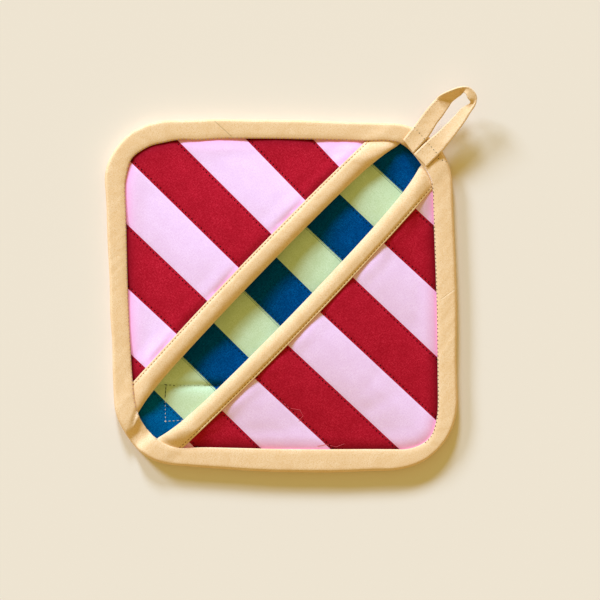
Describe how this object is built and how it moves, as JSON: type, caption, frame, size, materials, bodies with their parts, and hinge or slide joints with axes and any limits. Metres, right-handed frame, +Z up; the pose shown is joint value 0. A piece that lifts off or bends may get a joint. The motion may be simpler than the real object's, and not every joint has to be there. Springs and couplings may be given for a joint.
{
  "type": "pot holder",
  "caption": "Quilted square pot holder with patchwork strips, a hand pocket over each of opposite corners, folded tape round its edges and a tape hanging loop at a corner.",
  "frame": {"origin": "centre of the square on the flat underside of its back cloth", "axes": "+Z up through the layers; +X and +Y along the edges of the square, towards the corner with the hanging loop"},
  "size_m": [0.227, 0.2393, 0.0196],
  "materials": {
    "blue_cotton": "matte plain weave",
    "green_cotton": "matte plain weave",
    "red_cotton": "matte plain weave",
    "pink_cotton": "matte plain weave",
    "tan_tape": "matte plain weave",
    "wadding": "soft lofty fibre"
  },
  "bodies": {
    "root": {"base_back_cloth": "blue_cotton", "base_wadding": "wadding", "base_strip_1": "blue_cotton", "base_strip_2": "green_cotton", "base_strip_3": "blue_cotton", "base_strip_4": "green_cotton", "base_strip_5": "blue_cotton", "base_strip_6": "green_cotton", "base_strip_7": "blue_cotton", "base_strip_8": "green_cotton", "base_strip_9": "blue_cotton", "upper_pocket_lining": "tan_tape", "upper_pocket_wadding": "wadding", "upper_strip_1": "red_cotton", "upper_strip_2": "pink_cotton", "upper_strip_3": "red_cotton", "upper_strip_4": "pink_cotton", "upper_strip_5": "red_cotton", "upper_strip_6": "pink_cotton", "upper_strip_7": "red_cotton", "upper_strip_8": "pink_cotton", "lower_pocket_lining": "tan_tape", "lower_pocket_wadding": "wadding", "lower_strip_1": "pink_cotton", "lower_strip_2": "red_cotton", "lower_strip_3": "pink_cotton", "lower_strip_4": "red_cotton", "lower_strip_5": "pink_cotton", "lower_strip_6": "red_cotton", "lower_strip_7": "pink_cotton", "lower_strip_8": "red_cotton", "lower_strip_9": "pink_cotton", "upper_mouth_binding": "tan_tape", "lower_mouth_binding": "tan_tape", "edge_binding": "tan_tape", "hanging_loop": "tan_tape"}
  },
  "joints": []
}
